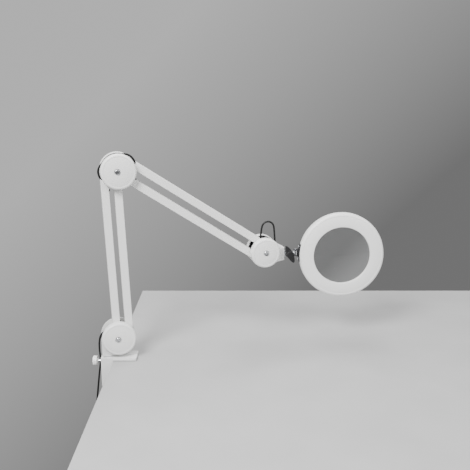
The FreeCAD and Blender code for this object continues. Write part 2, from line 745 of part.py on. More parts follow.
def rounded_route(points):
    places = [Vector(*point) for point in points]
    edges = []
    radii = []
    previous = places[0]
    for number in range(1, len(places) - 1):
        before = places[number] - places[number - 1]
        after = places[number + 1] - places[number]
        half_turn = before.getAngle(after) / 2
        reach = 0.45 * min(before.Length, after.Length)
        radii.append(reach / math.tan(half_turn))
        start = places[number] - before.normalize() * reach
        end = places[number] + after.normalize() * reach
        chord = (start + end) * 0.5
        depth = radii[-1] / math.cos(half_turn) - radii[-1]
        middle = places[number] + (chord - places[number]).normalize() * depth
        if (start - previous).Length > 0.001:
            edges.append(Part.LineSegment(previous, start).toShape())
        edges.append(Part.Arc(start, middle, end).toShape())
        previous = end
    edges.append(Part.LineSegment(previous, places[-1]).toShape())
    return Part.Wire(edges), radii


def swept(points, radius):
    path, radii = rounded_route(points)
    direction = Vector(*points[1]) - Vector(*points[0])
    ring = Part.Wire([Part.makeCircle(radius, Vector(*points[0]), direction)])
    solid = path.makePipeShell([ring], True, False)
    expected = math.pi * radius ** 2 * path.Length
    if abs(abs(solid.Volume) - expected) > 0.01 * expected:
        raise RuntimeError("a cord's volume is not its section times its length")
    return solid, path.Length, radii


def cord_node(label, points, frame):
    solid, length, radii = swept(points, value("cord_radius"))
    item = document.addObject("Part::Feature", label)
    item.Shape = solid
    node(label, item, frame)
    print(f"{label}: {length:.1f} mm, bend radii " + ", ".join(f"{radius:.1f}" for radius in radii))
    return solid


LEAD_UPPER = [(14.8, 6.5, 59.5), (7.5, 6.5, 57.2), (-1.5, 6.5, 56.2), (-10.0, 6.7, 52.0),
              (-15.6, 7.0, 43.0), (-17.4, 7.8, 32.0), (-17.6, 9.0, 20.5), (-17.6, 10.5, 9.6)]
CORD_ELBOW = [(-33.6, 6.5, -10.0), (-35.1, 6.5, -1.0), (-31.6, 6.5, 8.4), (-23.8, 6.5, 16.4),
              (-13.8, 6.5, 22.6), (-3.0, 6.5, 26.8), (8.5, 6.5, 30.0), (19.5, 6.5, 31.0),
              (28.6, 6.5, 27.0), (34.0, 6.5, 20.4)]
CORD_LOOP = [(-2.8, 6.0, 35.6), (-2.0, 5.9, 43.6), (-0.6, 5.6, 51.9), (2.7, 5.3, 57.7),
             (8.5, 4.8, 61.0), (15.1, 4.2, 61.0), (20.9, 3.6, 57.7), (24.2, 3.0, 51.9),
             (25.2, 2.7, 44.2), (26.1, 2.3, 32.5), (26.8, 2.0, 21.0)]
LEAD = [(-53.7, 5.8, 9.2), (-53.0, 8.2, -2.0), (-53.6, 8.4, -16.0), (-56.6, 7.4, -36.0),
        (-60.4, 6.5, -66.0), (-64.6, 6.4, -100.0), (-67.8, 8.4, -133.0)]
COIL_CENTRE = (-45.0, 6.0, -160.0)


def cords():
    upper = cord_node("lead_upper", LEAD_UPPER, arm)
    sleeve = swept(LEAD_UPPER[1:5], value("relief_radius"))[0]
    relief = document.addObject("Part::Feature", "strain_relief")
    relief.Shape = sleeve.cut(upper)
    node("strain_relief", relief, arm)
    for label, reach, place in (("cord_lower", LOWER_A, lower_a), ("cord_upper", UPPER_A, upper_a)):
        length, start, end = reach
        line = rod("Z", ("0", "cord_side"), f"{start} + 1", f"{length} - {end} - 1", "cord_radius")
        node(label, group(line), place)
    cord_node("cord_elbow", CORD_ELBOW, elbow)
    cord_node("cord_loop", CORD_LOOP, link)
    cord_node("lead", LEAD, world)

    x, y, z = COIL_CENTRE
    coil = document.addObject("Part::Torus", "Coil")
    coil.Placement = Placement(Vector(x, y, z), Rotation(Vector(1, 0, 0), 90))
    bind(coil, {"Radius1": "coil_radius", "Radius2": "coil_bundle"})
    node("lead_coil", group(coil), world)


def mains_plug():
    """Slim two-pin plug that hangs from the coil by its moulded boot."""
    x, y, z = COIL_CENTRE
    hang = Placement(Vector(x - value("coil_radius") - 1, y - 5.7, z - 18), Rotation())
    boot = rod("Z", ("0", "0"), "-34", "-4", "4.6", "2.6")
    grip = box("-17", "17", "-6.5", "6.5", "-66", "-33")
    body = joined(boot, grip)
    pins = [rod("Z", (x_pin, "0"), "-85", "-65", "2") for x_pin in ("-9.5", "9.5")]
    node("plug", joined(body, *pins), hang)


table_clamp()
clamping_screw()
lock_screw()
base_bracket()
rivet_pins("base_pins", base_a, (("0", "0"), ("lower_pitch", "0")))
joint_cover("base_cover", base_a, -1, "cover_radius", "cover_shift", "plate_inner + plate_thick + 0.1")
cover_screws("base_cover_screw", base_a, (-1,), "rivet_thick")

for name, frame, reach, open_end in (("lower_tube_a", lower_a, LOWER_A, "running_gap"),
                                     ("lower_tube_b", lower_b, LOWER_B, "open_gap"),
                                     ("upper_tube_a", upper_a, UPPER_A, "running_gap"),
                                     ("upper_tube_b", upper_b, UPPER_B, "open_gap")):
    arm_tube(name, frame, *reach)
    end_fittings(name + "_ends", frame, *reach, open_end)
arm_bumpers("lower_bumpers", lower_a, 1, "base_setback + 15", "lower_length - (lower_b_setback + 8)")
arm_bumpers("upper_bumper", upper_b, -1, "upper_b_setback + 3.5")
arm_spring("lower_spring", lower_b, "base_setback + 32")
arm_spring("upper_spring", upper_b, "upper_b_setback + 32")

joint_plate("elbow_plate_near", elbow, -1, "elbow_plate", "cover_shift", ELBOW_PIVOTS)
joint_plate("elbow_plate_far", elbow, 1, "elbow_plate", "cover_shift", ELBOW_PIVOTS)
rivet_pins("elbow_pins", elbow, ELBOW_PIVOTS)
for side, where in ((-1, "near"), (1, "far")):
    joint_cover(f"elbow_cover_{where}", elbow, side, "cover_radius", "cover_shift", "plate_inner + 0.4")
    joint_cover(f"link_cover_{where}", link, side, "link_cover", "0", "plate_inner + 0.4")
    joint_plate(f"link_plate_{where}", link, side, "link_plate", "0", LINK_PIVOTS)
cover_screws("elbow_cover_screws", elbow, (-1, 1), "rivet_thick")
rivet_pins("link_pins", link, LINK_PIVOTS)
cover_screws("link_cover_screws", link, (-1, 1), "0")
neck_housing()
knuckle()
ring_head()
head_bracket()
cords()
mains_plug()

document.recompute()
for item in document.Objects:
    if "Invalid" in item.State or "Error" in item.State:
        raise RuntimeError(f"{item.Label} failed: {item.State}")
os.makedirs("parts", exist_ok=True)
for item in nodes:
    if item.Shape.isNull() or not item.Shape.isValid():
        raise RuntimeError(f"{item.Label} has no valid shape")
    item.Shape.exportStep(f"parts/{item.Label}.step")
print(len(nodes), "nodes")
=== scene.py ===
import json
import math

import bmesh
import bpy
from mathutils import Matrix, Vector


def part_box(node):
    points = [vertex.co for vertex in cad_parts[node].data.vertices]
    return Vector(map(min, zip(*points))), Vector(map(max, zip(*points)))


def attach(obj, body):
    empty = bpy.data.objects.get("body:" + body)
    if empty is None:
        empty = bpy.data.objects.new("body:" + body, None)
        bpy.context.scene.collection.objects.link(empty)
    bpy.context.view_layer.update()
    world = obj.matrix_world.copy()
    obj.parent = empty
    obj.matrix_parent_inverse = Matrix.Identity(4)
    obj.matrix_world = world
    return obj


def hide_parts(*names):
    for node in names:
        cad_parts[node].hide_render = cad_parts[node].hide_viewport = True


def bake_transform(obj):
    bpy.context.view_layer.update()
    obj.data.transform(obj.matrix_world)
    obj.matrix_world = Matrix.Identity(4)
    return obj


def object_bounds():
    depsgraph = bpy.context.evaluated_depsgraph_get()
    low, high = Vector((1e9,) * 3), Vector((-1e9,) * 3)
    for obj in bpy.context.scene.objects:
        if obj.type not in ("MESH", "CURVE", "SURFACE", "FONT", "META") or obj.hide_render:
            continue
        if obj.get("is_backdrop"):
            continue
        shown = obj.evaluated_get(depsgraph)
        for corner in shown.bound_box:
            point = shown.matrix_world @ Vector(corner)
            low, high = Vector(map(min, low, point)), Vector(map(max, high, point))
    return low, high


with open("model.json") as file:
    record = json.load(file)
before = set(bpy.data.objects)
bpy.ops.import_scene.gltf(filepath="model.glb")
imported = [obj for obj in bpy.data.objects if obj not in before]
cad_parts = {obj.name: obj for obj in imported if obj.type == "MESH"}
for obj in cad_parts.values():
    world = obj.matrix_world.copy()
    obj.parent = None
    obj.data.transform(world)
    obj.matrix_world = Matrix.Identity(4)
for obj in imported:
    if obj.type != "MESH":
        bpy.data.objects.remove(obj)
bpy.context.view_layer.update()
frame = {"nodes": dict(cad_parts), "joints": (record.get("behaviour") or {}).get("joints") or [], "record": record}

nodes = frame["nodes"]
joints = {joint["name"]: joint for joint in frame["joints"]}


# View and room: a pale matt table with the clamp over its left edge, a plain grey backdrop,
# and large soft lamps above and to the left.
camera_data = bpy.data.cameras.new("camera")
camera_data.lens = 50.0
camera = bpy.data.objects.new("camera", camera_data)
camera.location = (0.2271, -1.2498, 0.5732)
camera.rotation_euler = (math.radians(90.0 - 14.02), 0.0, 0.0)
bpy.context.scene.collection.objects.link(camera)
bpy.context.scene.camera = camera


def deselect():
    if bpy.context.object and bpy.context.object.mode != "OBJECT":
        bpy.ops.object.mode_set(mode="OBJECT")
    bpy.ops.object.select_all(action="DESELECT")


def new_material(name, colour, roughness, metallic=0.0):
    """A material with its shader; what varies over the surface is linked to it afterwards."""
    material = bpy.data.materials.new(name)
    material.use_nodes = True
    shader = material.node_tree.nodes["Principled BSDF"]
    shader.inputs["Base Color"].default_value = (*colour, 1.0)
    shader.inputs["Roughness"].default_value = roughness
    shader.inputs["Metallic"].default_value = metallic
    return material, shader


def noise(material, scale, detail=3.0):
    """Noise over the piece's own coordinates."""
    tree = material.node_tree
    place = tree.nodes.new("ShaderNodeTexCoord")
    texture = tree.nodes.new("ShaderNodeTexNoise")
    texture.inputs["Scale"].default_value = scale
    texture.inputs["Detail"].default_value = detail
    tree.links.new(place.outputs["Object"], texture.inputs["Vector"])
    return texture


def spread(material, texture, low, high, target, start=0.3, stop=0.7):
    """Maps a texture from start..stop to low..high, on a number socket or a colour socket."""
    tree = material.node_tree
    if isinstance(low, tuple):
        ramp = tree.nodes.new("ShaderNodeValToRGB")
        ramp.color_ramp.elements[0].position = start
        ramp.color_ramp.elements[0].color = (*low, 1.0)
        ramp.color_ramp.elements[1].position = stop
        ramp.color_ramp.elements[1].color = (*high, 1.0)
        tree.links.new(texture.outputs[0], ramp.inputs["Fac"])
        tree.links.new(ramp.outputs["Color"], target)
    else:
        scale = tree.nodes.new("ShaderNodeMapRange")
        scale.inputs["From Min"].default_value = start
        scale.inputs["From Max"].default_value = stop
        scale.inputs["To Min"].default_value = low
        scale.inputs["To Max"].default_value = high
        tree.links.new(texture.outputs[0], scale.inputs["Value"])
        tree.links.new(scale.outputs["Result"], target)


def bumps(material, shader, texture, height, strength=1.0):
    """Relief of that height in metres from a texture."""
    tree = material.node_tree
    bump = tree.nodes.new("ShaderNodeBump")
    bump.inputs["Distance"].default_value = height
    bump.inputs["Strength"].default_value = strength
    tree.links.new(texture.outputs[0], bump.inputs["Height"])
    tree.links.new(bump.outputs["Normal"], shader.inputs["Normal"])


TABLE_THICK = 0.025
TABLE_EDGE = -0.0218
TABLE_BACK = 0.4245
TABLE_FRONT = -0.95
TABLE_RIGHT = 1.6
deselect()
bpy.ops.mesh.primitive_cube_add(size=1.0)
table = bpy.context.object
table.name = "table"
table.scale = (TABLE_RIGHT - TABLE_EDGE, TABLE_BACK - TABLE_FRONT, TABLE_THICK)
table.location = ((TABLE_RIGHT + TABLE_EDGE) / 2, (TABLE_BACK + TABLE_FRONT) / 2, -TABLE_THICK / 2 - 0.0001)
bpy.ops.object.transform_apply(location=True, scale=True)
table_paint, shader = new_material("table_paint", (0.42, 0.42, 0.42), 0.5)
spread(table_paint, noise(table_paint, 9.0), (0.405, 0.405, 0.405), (0.435, 0.435, 0.435),
       shader.inputs["Base Color"])
table.data.materials.append(table_paint)
table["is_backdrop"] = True

world = bpy.data.worlds.new("room")
bpy.context.scene.world = world
world.use_nodes = True
tree = world.node_tree
background = tree.nodes["Background"]
place = tree.nodes.new("ShaderNodeTexCoord")
parts = tree.nodes.new("ShaderNodeSeparateXYZ")
tree.links.new(place.outputs["Generated"], parts.inputs["Vector"])
slope = tree.nodes.new("ShaderNodeMath")
slope.operation = "MULTIPLY_ADD"
slope.inputs[1].default_value = -1.0
tree.links.new(parts.outputs["X"], slope.inputs[0])
tree.links.new(parts.outputs["Z"], slope.inputs[2])
shade = tree.nodes.new("ShaderNodeValToRGB")
shade.color_ramp.elements[0].position = 0.0
shade.color_ramp.elements[0].color = (0.17, 0.17, 0.17, 1.0)
shade.color_ramp.elements[1].position = 0.6
shade.color_ramp.elements[1].color = (0.56, 0.56, 0.56, 1.0)
lift = tree.nodes.new("ShaderNodeMath")
lift.operation = "ADD"
lift.inputs[1].default_value = 0.45
tree.links.new(slope.outputs["Value"], lift.inputs[0])
tree.links.new(lift.outputs["Value"], shade.inputs["Fac"])
tree.links.new(shade.outputs["Color"], background.inputs["Color"])
background.inputs["Strength"].default_value = 1.0


def soft_lamp(name, place, aim, size, power):
    data = bpy.data.lights.new(name, "AREA")
    data.shape = "DISK"
    data.size = size
    data.energy = power
    lamp = bpy.data.objects.new(name, data)
    lamp.location = place
    lamp.rotation_euler = (Vector(aim) - Vector(place)).to_track_quat("-Z", "Y").to_euler()
    bpy.context.scene.collection.objects.link(lamp)


soft_lamp("key_lamp", (-0.6, -1.3, 1.7), (0.15, 0.0, 0.2), 0.9, 78.0)
soft_lamp("fill_lamp", (1.6, -1.0, 1.2), (0.2, 0.1, 0.2), 1.0, 18.0)
soft_lamp("top_lamp", (0.2, 0.5, 1.9), (0.2, 0.1, 0.1), 1.2, 30.0)


# Mains lead: black round flex that leaves the base bracket through its strain relief, hangs
# past the clamp, and has its spare length tied in a round coil that ends in a small plug.
arm_x = Vector(joints["lower_arm"]["axis"]).cross(Vector((0, 0, 1)))
arm_y = Vector(joints["lower_arm"]["axis"])
arm_z = Vector((0, 0, 1))


def in_arm(origin, point):
    """A point given along the arm's own plane (along, across, up) in the frame of the model."""
    return Vector(origin) + arm_x * point[0] + arm_y * point[1] + arm_z * point[2]


def nurbs(points):
    """The points that a smooth line through this route follows."""
    data = bpy.data.curves.new("route", "CURVE")
    data.dimensions = "3D"
    data.resolution_u = 8
    spline = data.splines.new("NURBS")
    spline.points.add(len(points) - 1)
    for point, place in zip(spline.points, points):
        point.co = (*place, 1.0)
    spline.order_u = 3
    spline.use_endpoint_u = True
    holder = bpy.data.objects.new("route", data)
    bpy.context.scene.collection.objects.link(holder)
    bpy.context.view_layer.update()
    mesh = bpy.data.meshes.new_from_object(holder)
    followed = [vertex.co.copy() for vertex in mesh.vertices]
    bpy.data.objects.remove(holder)
    bpy.data.meshes.remove(mesh)
    return followed


def tube(name, path, radii, sides=12):
    """A closed round tube along a path, with its own length and turn in its UV map."""
    mesh = bpy.data.meshes.new(name)
    shape = bmesh.new()
    uv = shape.loops.layers.uv.new("along")
    if isinstance(radii, float):
        radii = [radii] * len(path)
    across = None
    rings = []
    run = [0.0]
    for number, point in enumerate(path):
        before = path[max(number - 1, 0)]
        after = path[min(number + 1, len(path) - 1)]
        way = (after - before).normalized()
        if across is None:
            across = way.orthogonal().normalized()
        across = (across - way * across.dot(way)).normalized()
        other = way.cross(across)
        if number:
            run.append(run[-1] + (point - path[number - 1]).length)
        ring = []
        for side in range(sides):
            turn = 2 * math.pi * side / sides
            outward = across * math.cos(turn) + other * math.sin(turn)
            ring.append(shape.verts.new(point + outward * radii[number]))
        rings.append(ring)
    for number in range(len(rings) - 1):
        for side in range(sides):
            following = (side + 1) % sides
            face = shape.faces.new((rings[number][side], rings[number][following],
                                    rings[number + 1][following], rings[number + 1][side]))
            face.smooth = True
            places = ((side, number), (side + 1, number), (side + 1, number + 1), (side, number + 1))
            for loop, (turn, ring_number) in zip(face.loops, places):
                loop[uv].uv = (turn / sides, run[ring_number] * 100.0)
    shape.faces.new(list(reversed(rings[0])))
    shape.faces.new(rings[-1])
    bmesh.ops.recalc_face_normals(shape, faces=shape.faces)
    shape.to_mesh(mesh)
    shape.free()
    piece = bpy.data.objects.new(name, mesh)
    bpy.context.scene.collection.objects.link(piece)
    return piece


def length_of(path):
    return sum((after - before).length for before, after in zip(path, path[1:]))


cord_sheath, shader = new_material("cord_sheath", (0.008, 0.008, 0.008), 0.5)
shader.inputs["Specular IOR Level"].default_value = 0.3
grain = noise(cord_sheath, 900.0)
spread(cord_sheath, grain, 0.36, 0.5, shader.inputs["Roughness"])
bumps(cord_sheath, shader, grain, 0.00006)

black_plastic, shader = new_material("black_plastic", (0.012, 0.012, 0.013), 0.45)
bumps(black_plastic, shader, noise(black_plastic, 1600.0), 0.00005)
spread(black_plastic, noise(black_plastic, 40.0), 0.4, 0.52, shader.inputs["Roughness"])
shader.inputs["Specular IOR Level"].default_value = 0.35

CORD = 0.0038
base_origin = Vector(joints["swivel"]["pos_m"])
base_origin.z = 0.0
upper_route = [(0.0148, 0.0065, 0.0595), (0.0075, 0.0065, 0.0572), (-0.0015, 0.0065, 0.0562),
               (-0.0100, 0.0067, 0.0520), (-0.0156, 0.0070, 0.0430), (-0.0174, 0.0078, 0.0320),
               (-0.0176, 0.0090, 0.0205)]
hanging_route = [(-0.0537, 0.0060, 0.0090), (-0.0530, 0.0082, -0.0020), (-0.0536, 0.0084, -0.0160),
                 (-0.0566, 0.0074, -0.0360), (-0.0604, 0.0065, -0.0660), (-0.0646, 0.0064, -0.1000),
                 (-0.0680, 0.0090, -0.1330), (-0.0688, 0.0112, -0.1480)]
coil_centre = Vector((-0.0450, 0.0060, -0.1600))
COIL_RADIUS = 0.022
STEPS = 14
pitch = CORD * 1.02
columns = [(1.5, (0.5, -0.5)), (0.5, (-1.0, 0.0, 1.0)), (-0.5, (1.0, 0.0, -1.0)), (-1.5, (-0.5, 0.5))]
turns = [(layer * pitch, column * pitch) for column, layers in columns for layer in layers]
coil_route = []
for number in range(len(turns) * STEPS + 1):
    turn = min(number // STEPS, len(turns) - 1)
    part = (number - turn * STEPS) / STEPS
    following = turns[min(turn + 1, len(turns) - 1)]
    layer = turns[turn][0] + (following[0] - turns[turn][0]) * part
    column = turns[turn][1] + (following[1] - turns[turn][1]) * part
    angle = math.pi + 2 * math.pi * number / STEPS
    reach = (COIL_RADIUS + layer) / math.cos(math.pi / STEPS)
    coil_route.append(coil_centre + Vector((reach * math.cos(angle), column, reach * math.sin(angle))))
plug_low, plug_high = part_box("plug")
plug_top = Vector(((plug_low.x + plug_high.x) / 2, (plug_low.y + plug_high.y) / 2, plug_high.z))
tail_route = [plug_top + Vector((-0.0004, 0.0, 0.0075)), plug_top + Vector((0.0, 0.0, -0.0005)),
              plug_top + Vector((0.0, 0.0, -0.0080))]
lead_path = nurbs([in_arm(base_origin, point) for point in upper_route]
                  + hanging_route + coil_route + tail_route)
lead = tube("mains_lead", lead_path, CORD / 2)
lead.data.materials.append(cord_sheath)
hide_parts("lead_upper", "lead", "lead_coil")

relief_path = nurbs([in_arm(base_origin, point) for point in upper_route])
relief_path = [point for point in relief_path if 0.006 < length_of([relief_path[0], point]) < 0.036]
relief_radii = []
for number in range(len(relief_path)):
    along = number / (len(relief_path) - 1)
    relief_radii.append(0.0034 - 0.0011 * along - (0.0004 if number % 3 == 1 else 0.0))
relief = tube("tapered_relief", relief_path, relief_radii, 20)
relief.data.materials.append(black_plastic)
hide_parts("strain_relief")
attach(relief, "base")

tie_path = []
TIE_STEPS = 28
for number in range(TIE_STEPS + 3):
    angle = 2 * math.pi * number / TIE_STEPS
    reach = 0.0098 + 0.0010 * number / TIE_STEPS
    offset = Vector((0.0, reach * math.cos(angle), reach * math.sin(angle) - COIL_RADIUS))
    tie_path.append(coil_centre + offset)
tie = tube("coil_tie", tie_path, 0.0011, 10)
tie.data.materials.append(black_plastic)
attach(tie, "clamp")

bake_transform(lead)


# Supply cord at the elbow: it comes out of the lower tube, passes round the elbow between
# the plates with some slack, and goes into the upper tube.
elbow_pin = Vector(joints["elbow_level"]["pos_m"])
elbow_origin = elbow_pin + (Vector(joints["lower_parallel"]["pos_m"]) - Vector(joints["lower_arm"]["pos_m"]))
elbow_route = [(-0.0280, 0.0065, -0.0330), (-0.0288, 0.0065, -0.0240), (-0.0304, 0.0065, -0.0165),
               (-0.0336, 0.0065, -0.0100), (-0.0351, 0.0065, -0.0010), (-0.0316, 0.0065, 0.0084),
               (-0.0238, 0.0065, 0.0164), (-0.0138, 0.0065, 0.0226), (-0.0030, 0.0065, 0.0268),
               (0.0085, 0.0065, 0.0300), (0.0195, 0.0065, 0.0310), (0.0286, 0.0065, 0.0270),
               (0.0340, 0.0065, 0.0204), (0.0372, 0.0065, 0.0140), (0.0430, 0.0065, 0.0080),
               (0.0500, 0.0065, 0.0030)]
elbow_path = nurbs([in_arm(elbow_origin, point) for point in elbow_route])
middle = len(elbow_path) // 2
for name, path, bodies, ends in (
        ("elbow_cord_lower", elbow_path[:middle + 1], ("lower_link_a", "elbow"), (1, 5)),
        ("elbow_cord_upper", elbow_path[middle:], ("elbow", "upper_link_a"), (11, 14))):
    piece = tube(name, path, CORD / 2)
    piece.data.materials.append(cord_sheath)
    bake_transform(piece)
    if name == "elbow_cord_lower":
        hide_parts("cord_elbow")


# Cord loop at the head joint: slack that lets the arm fold, from the end of the upper tube
# up and over into the top of the neck housing.
link_origin = (Vector(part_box("link_cover_screws")[0]) + Vector(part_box("link_cover_screws")[1])) / 2
loop_route = [(-0.0185, 0.0062, 0.0250), (-0.0120, 0.0062, 0.0225), (-0.0068, 0.0062, 0.0235),
              (-0.0040, 0.0061, 0.0285), (-0.0028, 0.0060, 0.0356), (-0.0020, 0.0059, 0.0436),
              (-0.0006, 0.0056, 0.0519), (0.0027, 0.0053, 0.0577), (0.0085, 0.0048, 0.0610),
              (0.0151, 0.0042, 0.0610), (0.0209, 0.0036, 0.0577), (0.0242, 0.0030, 0.0519),
              (0.0252, 0.0027, 0.0442), (0.0261, 0.0023, 0.0325), (0.0268, 0.0020, 0.0210),
              (0.0270, 0.0020, 0.0150)]
loop_path = nurbs([in_arm(link_origin, point) for point in loop_route])
loop = tube("head_cord_loop", loop_path, CORD / 2)
loop.data.materials.append(cord_sheath)
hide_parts("cord_loop")
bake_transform(loop)


# Round covers of the joints: moulded white cups with a soft rim, a faint ring on the face
# and a shallow seat for the screw, pushed over the plates on both sides.
def arc(across, along, radius, start, stop, steps=6):
    """Points of a round stretch of a turned outline, angles in degrees."""
    points = []
    for step in range(steps + 1):
        angle = math.radians(start + (stop - start) * step / steps)
        points.append((across + radius * math.cos(angle), along + radius * math.sin(angle)))
    return points


def turned(name, outline, steps=96, closed=False):
    """Spins an outline of (radius, height) about the upright axis and closes it."""
    mesh = bpy.data.meshes.new(name)
    count = len(outline)
    edges = [(number, number + 1) for number in range(count - 1)]
    if closed:
        edges.append((count - 1, 0))
    mesh.from_pydata([(across, 0.0, along) for across, along in outline], edges, [])
    piece = bpy.data.objects.new(name, mesh)
    bpy.context.scene.collection.objects.link(piece)
    deselect()
    bpy.context.view_layer.objects.active = piece
    piece.select_set(True)
    bpy.ops.object.mode_set(mode="EDIT")
    bpy.ops.mesh.select_all(action="SELECT")
    bpy.ops.mesh.spin(steps=steps, angle=2 * math.pi, center=(0, 0, 0), axis=(0, 0, 1))
    bpy.ops.mesh.select_all(action="SELECT")
    bpy.ops.mesh.remove_doubles(threshold=0.00001)
    bpy.ops.mesh.normals_make_consistent(inside=False)
    bpy.ops.object.mode_set(mode="OBJECT")
    bpy.ops.object.shade_smooth_by_angle(angle=math.radians(32))
    return piece


def settle(piece, origin, outward, turn=0.0):
    """Puts a piece modelled about the upright axis at its place, with that axis pointing outward."""
    deselect()
    bpy.context.view_layer.objects.active = piece
    piece.select_set(True)
    aim = Vector(outward).to_track_quat("Z", "Y").to_matrix().to_4x4()
    piece.matrix_world = Matrix.Translation(origin) @ aim @ Matrix.Rotation(math.radians(turn), 4, "Z")
    bpy.ops.object.transform_apply(location=True, rotation=True, scale=True)
    return piece


def cut_out(piece, tool):
    """Takes the tool's shape out of the piece."""
    deselect()
    bpy.context.view_layer.objects.active = piece
    piece.select_set(True)
    hollow = piece.modifiers.new("hollow", "BOOLEAN")
    hollow.operation = "DIFFERENCE"
    hollow.object = tool
    hollow.solver = "EXACT"
    bpy.ops.object.modifier_apply(modifier=hollow.name)
    bpy.data.objects.remove(tool)
    bpy.ops.object.shade_smooth_by_angle(angle=math.radians(32))


def finished(piece, material, slot, body, *replaced):
    piece.data.materials.clear()
    piece.data.materials.append(material)
    if replaced:
        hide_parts(*replaced)
    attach(piece, body)
    return piece


moulding, shader = new_material("white_moulding", (0.86, 0.86, 0.85), 0.3)
bumps(moulding, shader, noise(moulding, 2200.0), 0.00002)
spread(moulding, noise(moulding, 24.0), 0.26, 0.36, shader.inputs["Roughness"])

COVER_FACE = 0.0255
SEAT = 0.0066
for name, body, side, pivot, skirt in (
        ("base_cover", "base", -1, joints["lower_arm"]["pos_m"], 0.0136),
        ("elbow_cover_near", "elbow", -1, elbow_origin, 0.0119),
        ("elbow_cover_far", "elbow", 1, elbow_origin, 0.0119),
        ("link_cover_near", "head_link", -1, link_origin, 0.0119),
        ("link_cover_far", "head_link", 1, link_origin, 0.0119)):
    low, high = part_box(name)
    rim = (high.z - low.z) / 2
    middle_of_cup = (low + high) / 2
    middle_of_cup = middle_of_cup - arm_y * (middle_of_cup - Vector(pivot)).dot(arm_y)
    wall = 0.0018
    depth = COVER_FACE - skirt
    groove = rim - 0.0058
    outline = [(0.0, 0.0), (groove - 0.0006, 0.0), (groove, -0.00025), (groove + 0.0006, 0.0)]
    outline += arc(rim - 0.0044, -0.0044, 0.0044, 90, 0, 8)
    outline += [(rim - 0.0001, -depth + 0.0005), (rim - 0.0005, -depth), (rim - wall, -depth)]
    outline += arc(rim - wall - 0.0026, -0.0044, 0.0026, 0, 90, 4)
    outline.append((0.0, -wall))
    cover = turned(name + "_shell", outline)
    shift = (Vector(pivot) - middle_of_cup).dot(arm_x)
    bpy.ops.mesh.primitive_cylinder_add(vertices=48, radius=SEAT, depth=0.0024)
    seat = bpy.context.object
    seat.location = (shift, 0.0, 0.0)
    cut_out(cover, seat)
    outward = arm_y * side
    deselect()
    cover.select_set(True)
    bpy.context.view_layer.objects.active = cover
    axes = Matrix((arm_x, arm_z * -side, outward)).transposed().to_4x4()
    cover.matrix_world = Matrix.Translation(middle_of_cup + outward * COVER_FACE) @ axes
    bpy.ops.object.transform_apply(location=True, rotation=True, scale=True)
    finished(cover, moulding, "white_plastic", body, name)


# Cover screws: bright plated pan heads with a deep cross recess, one in each cover's seat.
chrome, shader = new_material("chrome", (0.62, 0.63, 0.65), 0.14, 1.0)
spread(chrome, noise(chrome, 80.0), 0.09, 0.22, shader.inputs["Roughness"])


def cross_screw(name, radius, tall):
    outline = [(0.0, tall), (radius * 0.45, tall * 0.97)]
    outline += arc(radius * 0.62, tall * 0.35, radius * 0.38, 62, 0, 5)
    outline += [(radius, 0.0), (0.0, 0.0)]
    head = turned(name, outline, steps=40)
    for turn in (0, 90):
        bpy.ops.mesh.primitive_cube_add(size=1.0)
        blade = bpy.context.object
        blade.scale = (radius * 1.25, radius * 0.26, tall * 1.1)
        blade.location = (0.0, 0.0, tall * 0.95)
        blade.rotation_euler = (0.0, 0.0, math.radians(turn))
        bpy.context.view_layer.update()
        cut_out(head, blade)
    return head


SCREW_SUNK = 0.0013
SCREW_TURN = 20
for node_name, body, origin, sides in (("base_cover_screw", "base", joints["lower_arm"]["pos_m"], (-1,)),
                                       ("elbow_cover_screws", "elbow", elbow_origin, (-1, 1)),
                                       ("link_cover_screws", "head_link", link_origin, (-1, 1))):
    for side in sides:
        screw = cross_screw(f"{node_name}_{'far' if side > 0 else 'near'}", 0.0056, 0.0022)
        settle(screw, Vector(origin) + arm_y * side * (COVER_FACE - SCREW_SUNK), arm_y * side, SCREW_TURN)
        finished(screw, chrome, "bright_steel", body, node_name)


# Ring head: a moulded front ring with a rounded rim and a fine groove, over a back shell with
# tapered sides; both are turned shapes in gloss white plastic.
head_up = Vector(joints["button_press"]["axis"])
yaw_pin = Vector(joints["head_yaw"]["pos_m"])
LENS_BACK = 0.003
lens_middle = (Vector(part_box("lens")[0]) + Vector(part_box("lens")[1])) / 2
head_middle = lens_middle.copy()
MIDDLE_PASSES = 3
for number in range(MIDDLE_PASSES):
    head_right = (head_middle - yaw_pin).normalized()
    head_back = head_up.cross(head_right).normalized()
    head_middle = lens_middle + head_back * LENS_BACK
head_front = -head_back

RING = 0.0914
HALF = 0.0120
OPENING = 0.0612
GROOVE = 0.0845
outline = arc(OPENING + 0.0016, HALF - 0.0016, 0.0016, 180, 90, 4)
outline += [(GROOVE - 0.0007, HALF - 0.0002), (GROOVE, HALF - 0.0006), (GROOVE + 0.0005, HALF - 0.0003)]
outline += arc(RING - 0.0065, HALF - 0.0068, 0.0065, 82, 0, 10)
outline += [(RING, 0.0004), (RING - 0.0003, 0.0001), (RING - 0.0020, 0.0001), (RING - 0.0020, HALF - 0.0070),
            (RING - 0.0070, HALF - 0.0022), (0.0660, HALF - 0.0022), (0.0660, 0.0001), (0.0638, 0.0001),
            (0.0638, 0.0050), (OPENING, 0.0050)]
bezel = turned("ring_front", outline, steps=144, closed=True)
settle(bezel, head_middle, head_front)
finished(bezel, moulding, "white_plastic", "head", "head_bezel")

LED_OUTER = 0.0864
LED_INNER = 0.0670
outline = [(0.0642, -0.0003), (RING - 0.0003, -0.0003), (RING, -0.0007), (RING, -HALF / 2)]
outline += arc(RING - 0.0060, -HALF + 0.0025, 0.0025, -20, -90, 5)
outline += [(LED_OUTER, -HALF), (LED_OUTER, -0.0030), (LED_INNER, -0.0030), (LED_INNER, -HALF),
            (0.0642, -HALF)]
back = turned("ring_back", outline, steps=144, closed=True)
settle(back, head_middle, head_front)
finished(back, moulding, "white_plastic", "head", "head_back")


